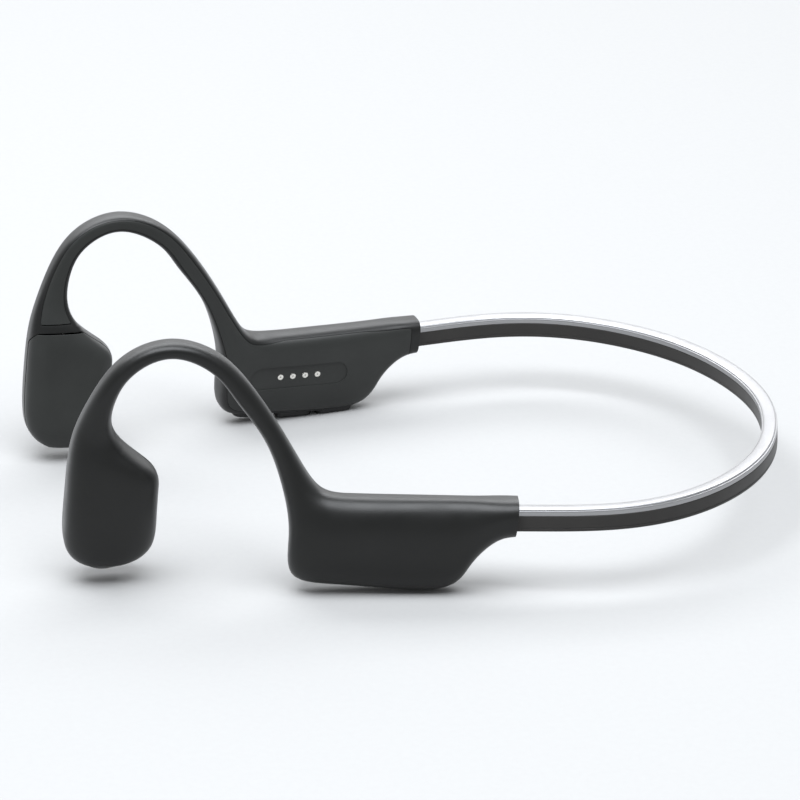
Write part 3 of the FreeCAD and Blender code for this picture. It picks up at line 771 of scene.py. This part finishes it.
def build_pins():
    """Four turned contacts, each with a dimple, standing just above the recess floor."""
    profile = [(0.0, -0.02), (0.08, -0.01), (0.16, 0.05), (0.22, 0.08), (0.56, 0.09), (0.64, 0.05),
               (PIN_RADIUS, -0.03), (PIN_RADIUS, PIN_BACK), (0.0, PIN_BACK)]
    for i in range(PIN_COUNT):
        along = PIN_PITCH * (i - (PIN_COUNT - 1) / 2) * MM
        pin = lathe("charging_pin_%d" % i, profile, recess_matrix() @ Matrix.Translation((along, 0, 0)))
        soften(pin, 30)
        dress(pin, CONTACT)
        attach(pin, "right_arm")
        if i == 0:
            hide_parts("charging_pins")


def build_buttons():
    for node in BUTTON_NAMES:
        outline = round_outline(BUTTON_LENGTH, BUTTON_WIDTH, BUTTON_CORNER)
        low = -BUTTON_HEIGHT / 2 - BUTTON_DROP
        cap = prism(node + "_cap", outline, low, low + BUTTON_HEIGHT)
        add_bevel(cap, BUTTON_ROUND, 4)
        bake_modifiers(cap)
        cap.data.transform(button_matrix(node))
        soften(cap, 50)
        dress(cap, BUTTON_RUBBER)
        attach(cap, node)
        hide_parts(node)


# ---- band ---------------------------------------------------------------------------------

def band_path(steps):
    """Middles and outward directions along the right half, from the back of the head."""
    line = [(x, -y) for x, y in BAND_HALF_LINE[:0:-1]] + BAND_HALF_LINE
    middle = len(BAND_HALF_LINE) - 1
    curve_x = natural_spline([x for x, _ in line])
    curve_y = natural_spline([y for _, y in line])
    places = np.linspace(middle, 2 * middle, steps)
    points = np.stack([curve_x(places), curve_y(places)], -1)
    ahead = np.stack([curve_x(places + 1e-3) - curve_x(places - 1e-3),
                      curve_y(places + 1e-3) - curve_y(places - 1e-3)], -1)
    ahead /= np.linalg.norm(ahead, axis=1)[:, None]
    return points, np.stack([ahead[:, 1], -ahead[:, 0]], -1)


def round_half(radius, level):
    """Half outline of a round wire in the band's section."""
    angles = [math.pi * i / 8 for i in range(9)]
    return [(round(radius * math.sin(a), 6), level + radius * math.cos(a)) for a in angles]


def band_piece(name, half_outline, side, material, node):
    """Half of one of the band's long pieces, closed at both ends."""
    outline = half_outline + [(-a, b) for a, b in half_outline[::-1] if a > 0]
    lean = math.radians(BAND_LEAN)
    points, outward = band_path(BAND_STEPS)
    rows = []
    for point, out in zip(points, outward):
        for a, b in outline:
            level = a * math.cos(lean) - b * math.sin(lean)
            rise = a * math.sin(lean) + b * math.cos(lean)
            rows.append((point[0] + out[0] * level, point[1] + out[1] * level, BAND_HEIGHT_Z + rise))
    count = len(outline)
    faces = strip_faces(BAND_STEPS, count, True)
    faces += [tuple(range(count)), tuple(range((BAND_STEPS - 1) * count, BAND_STEPS * count))]
    obj = tidy_mesh(new_mesh(name, to_side(rows, side), faces))
    soften(obj, 32)
    dress(obj, material)
    first, last = to_side([[*points[0], BAND_HEIGHT_Z], [*points[-1], BAND_HEIGHT_Z]], side)
    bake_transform(obj)
    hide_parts(node)


def build_band():
    for name, side in (("left", -1), ("right", 1)):
        band_piece(name + "_band_strip", TRIM_HALF, side, BAND_SILVER, "band_trim")
        band_piece(name + "_band_jacket", JACKET_HALF, side, BAND_RUBBER,
                   "band_jacket")
        band_piece(name + "_band_wire", round_half(*CORE_WIRE), side, TITANIUM,
                   "band_core_wire")
        band_piece(name + "_band_leads", round_half(*BAND_CABLE), side, BLACK_PLASTIC,
                   "band_cable")


# ---- what stays from CAD ------------------------------------------------------------------

NODE_PAINT = {
    "hook_core_wire": TITANIUM, "hook_cable": BLACK_PLASTIC, "band_seal": SEAL_RUBBER, "yoke": STEEL,
    "magnet": STEEL, "vibration_plate": STEEL, "spring_plate": PLATED, "voice_coil": COPPER,
    "battery_cell": FOIL, "battery_foam": FOAM, "battery_board": BOARD, "main_board": BOARD,
    "radio_chip": BLACK_PLASTIC, "microphone": PLATED, "button_switches": BLACK_PLASTIC,
    "contact_block": BLACK_PLASTIC, "shield_can": PLATED, "board_screws": PLATED,
    "button_seal": SEAL_RUBBER,
}


def dress_cad_nodes():
    for node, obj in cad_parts.items():
        for ending, material in NODE_PAINT.items():
            if node.endswith(ending):
                obj.data.materials.clear()
                obj.data.materials.append(material)


# ---- stage --------------------------------------------------------------------------------

def build_stage():
    floor = new_mesh("floor", [(-3, -3, 0), (3, -3, 0), (3, 3, 0), (-3, 3, 0)], [(0, 1, 2, 3)])
    floor.data.materials.append(pale_floor("floor_paper"))
    world = bpy.data.worlds.new("studio")
    bpy.context.scene.world = world
    world.use_nodes = True
    background = world.node_tree.nodes["Background"]
    background.inputs["Color"].default_value = (0.95, 0.97, 1.0, 1)
    background.inputs["Strength"].default_value = 0.45
    bpy.context.scene.view_settings.view_transform = "Standard"


def soft_light(name, place, target, size, power, color=(1, 1, 1)):
    data = bpy.data.lights.new(name, "AREA")
    data.shape = "RECTANGLE"
    data.size, data.size_y = size
    data.energy = power
    data.color = color
    light = bpy.data.objects.new(name, data)
    bpy.context.scene.collection.objects.link(light)
    light.location = place
    direction = Vector(target) - Vector(place)
    light.rotation_euler = direction.to_track_quat("-Z", "Y").to_euler()


def build_lights():
    soft_light("overhead", (-0.1, -0.22, 0.85), (0, 0, 0), (1.0, 0.6), 17, (0.93, 0.96, 1.0))
    soft_light("back_top", (0.0, 0.62, 0.7), (0, 0, 0.02), (1.5, 0.5), 12, (0.95, 0.97, 1.0))
    soft_light("back_card", (0.1, 1.1, 0.45), (0, 0, 0.05), (2.0, 0.8), 4.5)


def build_camera():
    yaw, down, roll = (math.radians(a) for a in (CAMERA_YAW, CAMERA_DOWN, CAMERA_ROLL))
    ahead = Vector((-math.sin(yaw) * math.cos(down), math.cos(yaw) * math.cos(down), -math.sin(down)))
    right = Vector((math.cos(yaw), math.sin(yaw), 0))
    up = right.cross(ahead)
    rolled_right = math.cos(roll) * right + math.sin(roll) * up
    rolled_up = -math.sin(roll) * right + math.cos(roll) * up
    data = bpy.data.cameras.new("camera")
    data.lens = CAMERA_LENS
    data.sensor_width = SENSOR
    data.clip_start, data.clip_end = 0.05, 20
    camera = bpy.data.objects.new("camera", data)
    bpy.context.scene.collection.objects.link(camera)
    turn = Matrix((rolled_right, rolled_up, -ahead)).transposed().to_4x4()
    camera.matrix_world = Matrix.Translation(Vector(CAMERA_PLACE) * MM) @ turn
    bpy.context.scene.camera = camera


for arm, mirror in (("left", -1), ("right", 1)):
    build_shell(arm, mirror)
    build_cover(arm, mirror)
    build_pad(arm, mirror)
build_pins()
build_buttons()
build_band()
dress_cad_nodes()
build_stage()
build_lights()
build_camera()

bpy.context.view_layer.update()
